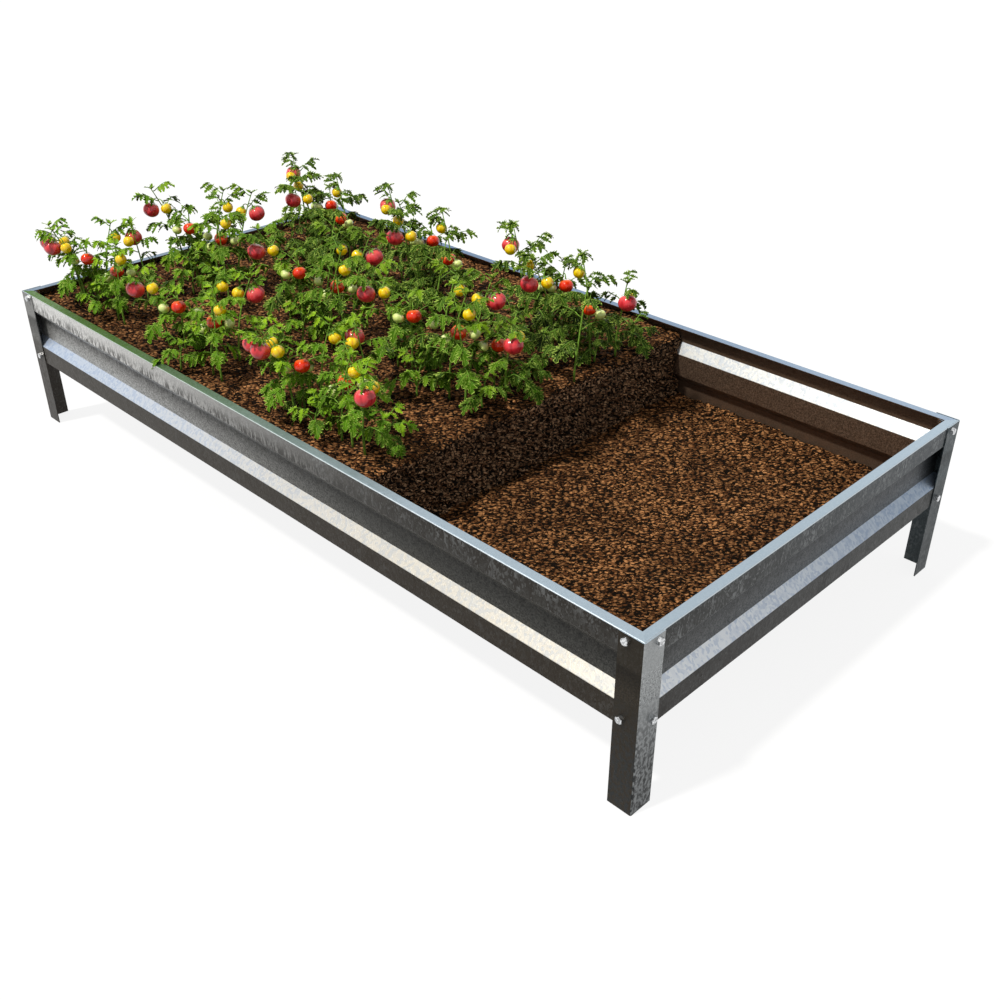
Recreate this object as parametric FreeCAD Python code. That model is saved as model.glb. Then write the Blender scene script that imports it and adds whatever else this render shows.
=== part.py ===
"""Raised garden bed: four roll-formed panels bolted between four angle legs, with soil and tomato plants.

Millimetres. The origin is the centre of the footprint on the ground; +X runs along the bed's length,
+Y across it and +Z up.
"""
import FreeCAD, Part
import os
from math import cos, pi, radians, sin

V = FreeCAD.Vector

# ---- driving dimensions -------------------------------------------------------------------------
LENGTH = 2000.0           # over the outer faces of the legs
WIDTH = 1000.0
HEIGHT = 356.0            # ground to rim

LEG_FLANGE = 50.0         # equal angle
LEG_SHEET = 2.0
LEG_ROOT_R = 3.0          # outer bend radius of the angle

PANEL_SHEET = 1.5
BEND_R = 1.5              # inside radius of every bend
PANEL_DEPTH = 182.0       # rim to bottom edge
RIM_FLANGE = 20.0         # horizontal flange, turned inwards
RECESS = 19.0             # how far the web lies behind the outer bands
UPPER_BAND = 41.5         # rim down to the end of the upper band
UPPER_SLOPE = 24.5
WEB = 52.0
LOWER_SLOPE = 19.0

BOLT_R = 4.0              # M8
HOLE_R = 4.5
HEX_FLATS = 13.0
HEX_CHAMFER = 0.2         # how far the cone on top cuts in past the flats
HEAD_H = 7.0
NUT_H = 6.5
WASHER_R = 8.0
WASHER_H = 1.5
BOLT_LENGTH = 16.0
BOLT_CHAMFER = 0.8
BOLT_INSET = 34.0         # corner edge to bolt axis
BOLT_BELOW_RIM = (11.0, 166.0)

SOIL_HIGH_BELOW_RIM = 19.0
SOIL_LOW_BELOW_RIM = 170.0
SOIL_STEP_X = 318.0       # vertical face between the two soil levels
SOIL_NOTCH_R = 9.5        # soil held off each nut
SWELL_STEP = 50.0         # spacing of the uneven surface's corners
# unevenness of the soil's surface as waves: height, run along X and along Y of one wave, phase
SWELLS = ((1.5, 430.0, 260.0, 0.10), (1.4, -210.0, 330.0, 0.62), (1.1, 150.0, -240.0, 0.35),
          (0.8, 128.0, 170.0, 0.81), (0.7, -190.0, 104.0, 0.27))

# ---- plants -------------------------------------------------------------------------------------
STEM_R = 2.4
STEM_RUNS, STEM_LAP = 4, 0.02   # straight runs of the bending stem, and how far each runs on into the next
STALK_R = 1.4
LEAF_SHEET = 1.4
GOLDEN_TURN = 137.5       # degrees from one leaf to the next, up the stem
LEAF_START = 40.0         # turn of the lowest leaf
MIDRIB = 0.3              # length of the stalk's run under the leaf, of the leaf's length
LEAF_WIDTH = 0.78         # of the leaf's length, over both sides
LEAF_OUTLINE = ((0.00, 0.05), (0.16, 0.34), (0.30, 0.10), (0.44, 0.50), (0.56, 0.12), (0.70, 0.40),
                (0.80, 0.09))
LOW_LEAF, TOP_LEAF = 74.0, 52.0
LOW_STALK, TOP_STALK = 26.0, 14.0
STALK_RISE = 32.0         # degrees above level
LOW_DROOP, TOP_DROOP = -24.0, 26.0
FIRST_LEAF = 0.30         # of the stem's height
CALYX_R, CALYX_WAIST, CALYX_SHEET = 11.0, 0.42, 1.6
STALK_HUMP = 14.0         # how far a fruit's stalk rises over the calyx
CALYX_GAP = 0.3
COLLAR_R, COLLAR_H = 3.2, 5.0   # thicker foot of the stem, standing on the soil
FOOT_SINK = 0.3           # pressed into the soil, which slopes a little

LOW_STATURE = 0.80        # the front row and the step's edge hold shorter plants

# kind: stem height, lean, number of leaves, fruits as (colour, beyond the stem's tip, across, height, radii)
PINK_R, RED_R, YELLOW_R, GREEN_R = (21.0, 18.5), (16.5, 14.5), (13.5, 13.0), (12.5, 10.0)
PLANTS = {
    "pink_pair": (235.0, 58.0, 7, (("pink", 8.0, 0.0, 185.0, PINK_R),
                                   ("yellow", -25.0, 20.0, 188.0, YELLOW_R))),
    "red_pair": (195.0, 44.0, 6, (("red", 8.0, 0.0, 150.0, RED_R), ("green", 0.0, -32.0, 146.0, GREEN_R))),
    "yellow_top": (238.0, 44.0, 7, (("yellow", 6.0, 0.0, 197.0, YELLOW_R),
                                    ("green", -52.0, 8.0, 128.0, GREEN_R))),
    "bush": (74.0, 12.0, 7, ()),
}

# a bay holds the same plants as its neighbour: kind, place of its first fruit in the bay, turn in degrees
SUNNY_BAY = (("pink_pair", 0.0, 0.0, 255.0), ("red_pair", 100.0, 44.0, 329.0),
             ("red_pair", 228.0, 52.0, 149.0), ("yellow_top", 262.0, 50.0, 20.0),
             ("yellow_top", 150.0, 130.0, 70.0), ("pink_pair", 220.0, 168.0, 75.0),
             ("bush", 150.0, 0.0, 60.0), ("bush", 50.0, 110.0, 150.0))
SHADY_BAY = SUNNY_BAY[:4] + (("yellow_top", 113.0, 119.0, 70.0), ("pink_pair", 125.0, 160.0, 165.0),
                             ("pink_pair", 43.0, -12.0, 240.0), ("bush", 160.0, 20.0, 10.0),
                             ("bush", 60.0, 90.0, 210.0))
BACK_BAY = (("pink_pair", 0.0, 0.0, 255.0), ("red_pair", 0.0, 120.0, 329.0), ("red_pair", 120.0, 60.0, 100.0),
            ("yellow_top", 46.0, 108.0, 170.0), ("yellow_top", -64.0, 66.0, 290.0),
            ("pink_pair", -205.0, 152.0, 165.0), ("bush", 40.0, 20.0, 240.0), ("bush", -120.0, 60.0, 20.0),
            ("bush", -60.0, 180.0, 130.0))
END_BAY = (("pink_pair", 0.0, 0.0, 330.0), ("red_pair", -70.0, 30.0, 329.0), ("bush", -60.0, -30.0, 100.0),
           ("bush", -50.0, 90.0, 300.0))
# bay: planting, origin, stature
BAYS = {
    "front_1": (SHADY_BAY, -925.0, -436.0, LOW_STATURE),
    "front_2": (SUNNY_BAY, -497.0, -446.0, LOW_STATURE),
    "front_3": (SHADY_BAY, -60.0, -436.0, LOW_STATURE),
    "front_end": (END_BAY[:1] + END_BAY[3:], 292.0, -436.0, LOW_STATURE),
    "middle_1": (SUNNY_BAY, -865.0, -182.0, 1.0),
    "middle_2": (SUNNY_BAY, -410.0, -178.0, 1.0),
    "middle_3": (SUNNY_BAY, -32.0, -164.0, 1.0),
    "middle_end": (END_BAY, 320.0, -80.0, LOW_STATURE),
    "back_1": (BACK_BAY, -668.0, 115.0, 1.0),
    "back_2": (BACK_BAY, -256.0, 108.0, 1.0),
    "back_3": (BACK_BAY, 178.0, 114.0, 1.0),
    "back_end": (END_BAY[:1] + END_BAY[2:], 334.0, 258.0, LOW_STATURE),
}

# ---- derived ------------------------------------------------------------------------------------
CLOSE = 1e-3                              # two points this near are the same
PANEL_X = LENGTH / 2 - LEG_SHEET          # outer planes of the panels
PANEL_Y = WIDTH / 2 - LEG_SHEET
PANEL_BOTTOM = HEIGHT - PANEL_DEPTH
SOIL_HIGH = HEIGHT - SOIL_HIGH_BELOW_RIM
SOIL_LOW = HEIGHT - SOIL_LOW_BELOW_RIM
HEX_CORNER_R = HEX_FLATS / 2 / cos(pi / 6)
CORNERS = {"front_left": (-1, -1), "front_right": (1, -1), "back_left": (-1, 1), "back_right": (1, 1)}


def save(shape, node):
    shape.exportStep("parts/" + node + ".step")


def mix(low, top, share):
    return low + (top - low) * share


# ---- panels -------------------------------------------------------------------------------------
def outer_line():
    """The panel's outside from the flange's tip to the bottom edge, as (depth inwards, height)."""
    z1 = HEIGHT - UPPER_BAND
    z2 = z1 - UPPER_SLOPE
    z3 = z2 - WEB
    z4 = z3 - LOWER_SLOPE
    return [(RIM_FLANGE, HEIGHT), (0, HEIGHT), (0, z1), (RECESS, z2), (RECESS, z3), (0, z4),
            (0, PANEL_BOTTOM)]


def inner_line():
    """The same line set back by the sheet's thickness, mitred at each bend."""
    line = outer_line()
    normals = []
    for (ax, az), (bx, bz) in zip(line, line[1:]):
        run = ((bx - ax) ** 2 + (bz - az) ** 2) ** 0.5
        normals.append(((az - bz) / run, (bx - ax) / run))
    joints = zip([normals[0]] + normals, normals + [normals[-1]])
    inner = []
    for (x, z), (m, n) in zip(line, joints):
        scale = PANEL_SHEET / (1 + m[0] * n[0] + m[1] * n[1])
        inner.append((x + scale * (m[0] + n[0]), z + scale * (m[1] + n[1])))
    return inner


def extrude_section(section, half_length):
    """Sweep a (y, z) section along X over the given half length each way."""
    points = [V(-half_length, y, z) for y, z in section]
    return Part.Face(Part.makePolygon(points + points[:1])).extrude(V(2 * half_length, 0, 0))


def bent_sheet(half_width, half_length):
    """The panel's sheet with rounded bends, its outer plane half_width in front of the X axis."""
    outer, inner = outer_line(), inner_line()
    sheet = extrude_section([(depth - half_width, z) for depth, z in outer + inner[::-1]], half_length)
    for k in range(1, len(outer) - 1):
        (ax, az), (bx, bz), (cx, cz) = outer[k - 1:k + 2]
        hollow = (bx - ax) * (cz - bz) - (bz - az) * (cx - bx) < 0
        far_side, near_side = (inner, outer) if hollow else (outer, inner)
        sheet = rounded(sheet, far_side[k], BEND_R + PANEL_SHEET, half_width)
        sheet = rounded(sheet, near_side[k], BEND_R, half_width)
    return sheet


def rounded(sheet, corner, radius, half_width):
    """Round the edge that runs along X through one corner of the section."""
    y, z = corner[0] - half_width, corner[1]
    edges = [edge for edge in sheet.Edges if edge.BoundBox.XLength > edge.BoundBox.DiagonalLength / 2
             and abs(edge.BoundBox.Center.y - y) + abs(edge.BoundBox.Center.z - z) < CLOSE]
    return sheet.makeFillet(radius, edges)


def bolt_axes():
    """Each bolt's corner, outward axis and the point where its head meets the leg."""
    axes = []
    for corner, (sx, sy) in CORNERS.items():
        for below in BOLT_BELOW_RIM:
            z = HEIGHT - below
            axes.append((corner, V(0, sy, 0), V(sx * (LENGTH / 2 - BOLT_INSET), sy * WIDTH / 2, z)))
            axes.append((corner, V(sx, 0, 0), V(sx * LENGTH / 2, sy * (WIDTH / 2 - BOLT_INSET), z)))
    return axes


def bolt_holes():
    depth = LEG_SHEET + PANEL_SHEET + 2.0
    return Part.makeCompound([Part.makeCylinder(HOLE_R, depth, at + out, -out) for _, out, at in bolt_axes()])


def mitre(half_length, half_width):
    """What a panel may fill in plan: both ends are cut at 45 degrees to meet its neighbours."""
    reach = RECESS + 3 * RIM_FLANGE
    plan = [V(-half_length, -half_width, 0), V(half_length, -half_width, 0),
            V(half_length - reach, reach - half_width, 0), V(reach - half_length, reach - half_width, 0)]
    return Part.Face(Part.makePolygon(plan + plan[:1])).extrude(V(0, 0, HEIGHT))


def long_panel():
    """Front panel, mitred at both ends."""
    return bent_sheet(PANEL_Y, PANEL_X).common(mitre(PANEL_X, PANEL_Y))


def short_panel():
    """Right-hand panel, mitred at both ends."""
    return turned(bent_sheet(PANEL_X, PANEL_Y).common(mitre(PANEL_Y, PANEL_X)), 90)


def turned(shape, angle):
    copy = shape.copy()
    copy.rotate(V(0, 0, 0), V(0, 0, 1), angle)
    return copy


# ---- legs and fasteners -------------------------------------------------------------------------
def corner_leg(sx, sy):
    """Equal angle standing outside the panels' corner, from the ground to the rim."""
    x, y = LENGTH / 2, WIDTH / 2
    outer = Part.makeBox(LEG_FLANGE, LEG_FLANGE, HEIGHT)
    bend = [edge for edge in outer.Edges if edge.BoundBox.XMax < CLOSE and edge.BoundBox.YMax < CLOSE]
    outer = outer.makeFillet(LEG_ROOT_R, bend)
    inside = Part.makeBox(LEG_FLANGE, LEG_FLANGE, HEIGHT, V(LEG_SHEET, LEG_SHEET, 0))
    leg = outer.cut(inside)
    leg.rotate(V(0, 0, 0), V(0, 0, 1), {(-1, -1): 0, (1, -1): 90, (1, 1): 180, (-1, 1): 270}[(sx, sy)])
    leg.translate(V(sx * x, sy * y, 0))
    return leg


def hexagon_prism(height):
    points = [V(HEX_CORNER_R * cos(k * pi / 3), HEX_CORNER_R * sin(k * pi / 3), 0) for k in range(7)]
    return Part.Face(Part.makePolygon(points)).extrude(V(0, 0, height))


def chamfered_hexagon(height):
    """Hexagon prism with its outer corners turned down to a cone at the top."""
    top_r, foot_r = HEX_FLATS / 2 - HEX_CHAMFER, HEX_CORNER_R + height
    cone = Part.makeCone(foot_r, top_r, foot_r - top_r, V(0, 0, height - foot_r + top_r))
    return hexagon_prism(height).common(cone)


def bolt():
    """Hexagon-head bolt: the head stands on z = 0 and the shank runs down."""
    shank = Part.makeCylinder(BOLT_R, BOLT_LENGTH - BOLT_CHAMFER, V(0, 0, -BOLT_LENGTH + BOLT_CHAMFER))
    tip = Part.makeCone(BOLT_R - BOLT_CHAMFER, BOLT_R, BOLT_CHAMFER, V(0, 0, -BOLT_LENGTH))
    return chamfered_hexagon(HEAD_H).fuse([shank, tip]).removeSplitter()


def washer():
    ring = Part.makeCylinder(WASHER_R, WASHER_H)
    ring = ring.cut(Part.makeCylinder(HOLE_R - 0.2, WASHER_H))
    ring.translate(V(0, 0, -LEG_SHEET - PANEL_SHEET - WASHER_H))
    return ring


def nut():
    body = hexagon_prism(NUT_H).cut(Part.makeCylinder(BOLT_R, NUT_H))
    body.translate(V(0, 0, -LEG_SHEET - PANEL_SHEET - WASHER_H - NUT_H))
    return body


def on_axis(shape, out, at):
    """Turn a fastener built along +Z to its outward axis, a corner of its hexagon up, and set it in place."""
    copy = turned(shape, 30 if abs(out.x) < CLOSE else 0)
    placement = FreeCAD.Placement(at, FreeCAD.Rotation(V(0, 0, 1), out))
    copy.Placement = placement.multiply(copy.Placement)
    return copy


def fasteners():
    kinds = {"bolts": bolt(), "washers": washer(), "nuts": nut()}
    for name, shape in kinds.items():
        for corner in CORNERS:
            placed = [on_axis(shape, out, at) for at_corner, out, at in bolt_axes() if at_corner == corner]
            save(Part.makeCompound(placed), name + "_" + corner)


# ---- soil ---------------------------------------------------------------------------------------
def cavity():
    """The space inside the panels, from their bottom edge to the rim, filling the corrugation."""
    side = inner_line()[1:]

    def section(half):
        left = [(depth - half, z) for depth, z in side]
        return left + [(-y, z) for y, z in left[::-1]]
    along = extrude_section(section(PANEL_Y), PANEL_X)
    across = turned(extrude_section(section(PANEL_X), PANEL_Y), 90)
    return along.common(across)


def swell(x, y):
    """How far the soil's surface stands above its mean level."""
    turns = [(height, x / along + y / across + phase) for height, along, across, phase in SWELLS]
    return sum(height * sin(2 * pi * turn) for height, turn in turns)


def polygon_face(points):
    return Part.Face(Part.makePolygon(points + points[:1]))


def heap(x0, x1, level):
    """Soil between two positions along the bed: a faceted, uneven top over a straight-sided block."""
    columns, rows = round((x1 - x0) / SWELL_STEP), round(WIDTH / SWELL_STEP)
    net = []
    for i in range(columns + 1):
        x = mix(x0, x1, i / columns)
        line = [mix(-WIDTH / 2, WIDTH / 2, j / rows) for j in range(rows + 1)]
        net.append([V(x, y, level + swell(x, y)) for y in line])
    faces = []
    for left, right in zip(net, net[1:]):
        for j in range(rows):
            faces.append(polygon_face([left[j], right[j], right[j + 1]]))
            faces.append(polygon_face([left[j], right[j + 1], left[j + 1]]))
    edges = [net[0], net[-1], [line[0] for line in net], [line[-1] for line in net]]
    for edge in edges:
        faces.append(polygon_face(edge + [V(edge[-1].x, edge[-1].y, 0), V(edge[0].x, edge[0].y, 0)]))
    corners = [net[0][0], net[-1][0], net[-1][-1], net[0][-1]]
    faces.append(polygon_face([V(corner.x, corner.y, 0) for corner in corners]))
    shell = Part.makeShell(faces)
    shell.sewShape()
    return Part.makeSolid(shell)


def soil():
    depth = BOLT_LENGTH + 2.0
    notches = Part.makeCompound([Part.makeCylinder(SOIL_NOTCH_R, depth, at, -out) for _, out, at in bolt_axes()])
    room = cavity()
    save(room.common(heap(-LENGTH / 2, SOIL_STEP_X, SOIL_HIGH)).cut(notches), "soil_planted")
    save(room.common(heap(SOIL_STEP_X, LENGTH / 2, SOIL_LOW)).cut(notches), "soil_low")


# ---- plants -------------------------------------------------------------------------------------
def stem_point(height, lean, z):
    """A point on the stem's centre line: upright at the soil, leaning along +X higher up."""
    return V(lean * (z / height) ** 2, 0, z)


def rod(start, end, radius, sides=4):
    """A straight stalk with flat sides."""
    run = end - start
    turns = [2 * pi * k / sides for k in range(sides + 1)]
    points = [V(radius * cos(turn), radius * sin(turn), 0) for turn in turns]
    stick = Part.Face(Part.makePolygon(points)).extrude(V(0, 0, run.Length))
    stick.Placement = FreeCAD.Placement(start, FreeCAD.Rotation(V(0, 0, 1), run))
    return stick


def leaf_plate(base, turn, droop, length):
    """Lobed outline of a compound leaf, as a thin plate that starts at base."""
    half = LEAF_WIDTH * length
    side = [(x * length, y * half) for x, y in LEAF_OUTLINE]
    outline = side + [(length, 0)] + [(x, -y) for x, y in side[::-1]]
    points = [V(x, y, -LEAF_SHEET / 2) for x, y in outline]
    plate = Part.Face(Part.makePolygon(points + points[:1])).extrude(V(0, 0, LEAF_SHEET))
    plate.rotate(V(0, 0, 0), V(0, 1, 0), -droop)
    plate.rotate(V(0, 0, 0), V(0, 0, 1), turn)
    plate.translate(base)
    return plate


def leaves(height, lean, count, stature):
    """Stalk and plate of every leaf, each a golden turn on from the one below."""
    pieces = []
    for k in range(count):
        share = k / (count - 1)
        root = stem_point(height, lean, height * mix(FIRST_LEAF, 0.98, share))
        turn = LEAF_START + GOLDEN_TURN * k
        stalk = mix(LOW_STALK, TOP_STALK, share) * stature
        droop = mix(LOW_DROOP, TOP_DROOP, share)
        flat, rise = stalk * cos(radians(STALK_RISE)), stalk * sin(radians(STALK_RISE))
        base = root + V(flat * cos(radians(turn)), flat * sin(radians(turn)), rise)
        tip = V(cos(radians(turn)) * cos(radians(droop)), sin(radians(turn)) * cos(radians(droop)),
                sin(radians(droop)))
        length = mix(LOW_LEAF, TOP_LEAF, share) * stature
        pieces.append(rod(root, base, STALK_R))
        pieces.append(rod(base - tip * STALK_R, base + tip * (MIDRIB * length), STALK_R))
        pieces.append(leaf_plate(base, turn, droop, length))
    return pieces


def truss(height, lean, top):
    """Fruit stalk from the stem over to the calyx that sits on top of the fruit."""
    level = min(top.z + STALK_HUMP, 0.97 * height)
    root = stem_point(height, lean, level - STALK_HUMP / 2)
    knee = V(top.x, top.y, level)
    reach = [CALYX_R if k % 2 == 0 else CALYX_R * CALYX_WAIST for k in range(11)]
    points = [V(r * cos(k * pi / 5), r * sin(k * pi / 5), 0) for k, r in enumerate(reach)]
    calyx = Part.Face(Part.makePolygon(points)).extrude(V(0, 0, CALYX_SHEET))
    calyx.translate(top)
    drop = rod(knee + V(0, 0, STALK_R), top + V(0, 0, CALYX_SHEET / 2), STALK_R)
    return [rod(root, knee, STALK_R), drop, calyx]


def fruit_centres(kind, stature):
    """Colour, centre and radii of each fruit of a plant whose stem stands at the origin."""
    _, lean, _, fruits = PLANTS[kind]
    return [(colour, V(lean * stature + beside, across, centre * stature), radii)
            for colour, beside, across, centre, radii in fruits]


def plant(kind, stature):
    """One plant as a single solid, its stem at the origin and the soil's surface at z = 0."""
    height, lean, count, _ = PLANTS[kind]
    height, lean = height * stature, lean * stature
    joints = [stem_point(height, lean, height * k / STEM_RUNS) for k in range(STEM_RUNS + 1)]
    pieces = [rod(a, b + (b - a) * STEM_LAP, STEM_R, 6) for a, b in zip(joints, joints[1:])]
    pieces.append(rod(V(0, 0, 0), V(0, 0, COLLAR_H), COLLAR_R, 6))
    pieces += leaves(height, lean, count, stature)
    for _, centre, radii in fruit_centres(kind, stature):
        pieces += truss(height, lean, centre + V(0, 0, radii[1] + CALYX_GAP))
    solid = pieces[0].fuse(pieces[1:])
    return solid.Solids[0]


def fruit(radii):
    flat = FreeCAD.Matrix()
    flat.scale(radii[0], radii[0], radii[1])
    return Part.makeSphere(1.0).transformGeometry(flat)


def place(shape, spot, turn):
    copy = turned(shape, turn)
    copy.translate(spot)
    return copy


def stem_foot(kind, stature, x, y, turn):
    """Where the stem stands on the soil, so that the plant's first fruit hangs over (x, y)."""
    foot = V(x, y, 0)
    for _, centre, _ in fruit_centres(kind, stature)[:1]:
        foot -= FreeCAD.Rotation(V(0, 0, 1), turn).multVec(V(centre.x, centre.y, 0))
    foot.z = SOIL_HIGH + swell(foot.x, foot.y) - FOOT_SINK
    return foot


def garden():
    models = {(kind, stature): plant(kind, stature) for kind in PLANTS for stature in (LOW_STATURE, 1.0)}
    produce = {"pink": [], "red": [], "yellow": [], "green": []}
    for bay, (planting, bay_x, bay_y, stature) in BAYS.items():
        group = []
        for kind, x, y, turn in planting:
            foot = stem_foot(kind, stature, bay_x + x, bay_y + y, turn)
            group.append(place(models[kind, stature], foot, turn))
            for colour, centre, radii in fruit_centres(kind, stature):
                ball = fruit(radii)
                ball.translate(centre)
                produce[colour].append(place(ball, foot, turn))
        save(Part.makeCompound(group), "tomato_plants_" + bay)
    for colour, balls in produce.items():
        save(Part.makeCompound(balls), "tomatoes_" + colour)


def main():
    os.makedirs("parts", exist_ok=True)
    holes = bolt_holes()
    front, right = long_panel().cut(holes), short_panel().cut(holes)
    save(front, "long_panel_front")
    save(turned(front, 180), "long_panel_back")
    save(right, "short_panel_right")
    save(turned(right, 180), "short_panel_left")
    for corner, (sx, sy) in CORNERS.items():
        save(corner_leg(sx, sy).cut(holes), "corner_leg_" + corner)
    fasteners()
    soil()
    garden()


main()
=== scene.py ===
"""Looks of the raised garden bed: galvanised sheet, loose bark, tomato plants and their fruit. Metres."""
import random
from math import cos, exp, pi, radians, sin, sqrt

import bpy
import numpy as np
from mathutils import Matrix, Vector, noise


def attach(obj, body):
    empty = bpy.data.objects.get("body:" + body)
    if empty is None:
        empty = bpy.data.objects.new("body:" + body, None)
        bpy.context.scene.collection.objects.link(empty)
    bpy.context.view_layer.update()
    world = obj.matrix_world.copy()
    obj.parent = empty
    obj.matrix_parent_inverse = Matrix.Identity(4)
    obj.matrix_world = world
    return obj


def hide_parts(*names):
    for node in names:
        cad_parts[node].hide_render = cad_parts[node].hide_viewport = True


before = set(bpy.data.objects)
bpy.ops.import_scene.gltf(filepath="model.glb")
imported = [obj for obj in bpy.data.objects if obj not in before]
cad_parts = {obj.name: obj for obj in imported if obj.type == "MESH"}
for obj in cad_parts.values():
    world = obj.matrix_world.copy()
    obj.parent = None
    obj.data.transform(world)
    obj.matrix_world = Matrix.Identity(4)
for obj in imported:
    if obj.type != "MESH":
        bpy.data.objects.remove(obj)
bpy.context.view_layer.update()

MM = 0.001                 # the plants' places and the soil's waves are in millimetres

# ---- shared with the part's source -----------------------------------------------------------------
HEIGHT = 0.356
SOIL_HIGH, SOIL_LOW = HEIGHT - 0.019, HEIGHT - 0.170
STEP_X = 0.318             # where the high soil ends
PANEL_X, PANEL_Y = 0.998, 0.498
SHEET = 0.0015
# the panel's outside from the rim down, as (depth inwards, height)
PANEL_LINE = ((0, 0.356), (0, 0.3145), (0.019, 0.290), (0.019, 0.238), (0, 0.219), (0, 0.174))
# the soil's waves in mm: height, run along x and along y of one wave, phase
SWELLS = ((1.5, 430, 260, 0.10), (1.4, -210, 330, 0.62), (1.1, 150, -240, 0.35), (0.8, 128, 170, 0.81),
          (0.7, -190, 104, 0.27))

GOLDEN_TURN = 137.5
LEAF_START = 40.0
LOW_LEAF, TOP_LEAF = 0.074, 0.052
LOW_STALK, TOP_STALK = 0.026, 0.014
STALK_RISE = 32.0
LOW_DROOP, TOP_DROOP = -24.0, 26.0
FIRST_LEAF = 0.30
STALK_HUMP = 0.014
CALYX_GAP = 0.0003
LOW_STATURE = 0.80

PINK_R, RED_R, YELLOW_R, GREEN_R = (0.021, 0.0185), (0.0165, 0.0145), (0.0135, 0.013), (0.0125, 0.010)
# kind: stem height, lean, number of leaves, fruits as (colour, beyond the stem's tip, across, height, radii)
PLANTS = {
    "pink_pair": (0.235, 0.058, 7, (("pink", 0.008, 0.0, 0.185, PINK_R),
                                    ("yellow", -0.025, 0.020, 0.188, YELLOW_R))),
    "red_pair": (0.195, 0.044, 6, (("red", 0.008, 0.0, 0.150, RED_R),
                                   ("green", 0.0, -0.032, 0.146, GREEN_R))),
    "yellow_top": (0.238, 0.044, 7, (("yellow", 0.006, 0.0, 0.197, YELLOW_R),
                                     ("green", -0.052, 0.008, 0.128, GREEN_R))),
    "bush": (0.074, 0.012, 7, ()),
}
# kind, place of its first fruit in the bay, turn in degrees
SUNNY_BAY = (("pink_pair", 0, 0, 255), ("red_pair", 100, 44, 329), ("red_pair", 228, 52, 149),
             ("yellow_top", 262, 50, 20), ("yellow_top", 150, 130, 70), ("pink_pair", 220, 168, 75),
             ("bush", 150, 0, 60), ("bush", 50, 110, 150))
SHADY_BAY = SUNNY_BAY[:4] + (("yellow_top", 113, 119, 70), ("pink_pair", 125, 160, 165),
                             ("pink_pair", 43, -12, 240), ("bush", 160, 20, 10), ("bush", 60, 90, 210))
BACK_BAY = (("pink_pair", 0, 0, 255), ("red_pair", 0, 120, 329), ("red_pair", 120, 60, 100),
            ("yellow_top", 46, 108, 170), ("yellow_top", -64, 66, 290), ("pink_pair", -205, 152, 165),
            ("bush", 40, 20, 240), ("bush", -120, 60, 20), ("bush", -60, 180, 130))
END_BAY = (("pink_pair", 0, 0, 330), ("red_pair", -70, 30, 329), ("bush", -60, -30, 100),
           ("bush", -50, 90, 300))
# bay: planting, origin, stature
BAYS = {
    "front_1": (SHADY_BAY, -925, -436, LOW_STATURE),
    "front_2": (SUNNY_BAY, -497, -446, LOW_STATURE),
    "front_3": (SHADY_BAY, -60, -436, LOW_STATURE),
    "front_end": (END_BAY[:1] + END_BAY[3:], 292, -436, LOW_STATURE),
    "middle_1": (SUNNY_BAY, -865, -182, 1),
    "middle_2": (SUNNY_BAY, -410, -178, 1),
    "middle_3": (SUNNY_BAY, -32, -164, 1),
    "middle_end": (END_BAY, 320, -80, LOW_STATURE),
    "back_1": (BACK_BAY, -668, 115, 1),
    "back_2": (BACK_BAY, -256, 108, 1),
    "back_3": (BACK_BAY, 178, 114, 1),
    "back_end": (END_BAY[:1] + END_BAY[2:], 334, 258, LOW_STATURE),
}


# ---- node helpers ----------------------------------------------------------------------------------
def srgb(r, g, b):
    """Linear colour of an 8-bit screen colour."""
    levels = (c / 255 for c in (r, g, b))
    return tuple(c / 12.92 if c < 0.0405 else ((c + 0.055) / 1.055) ** 2.4 for c in levels) + (1,)


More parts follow.
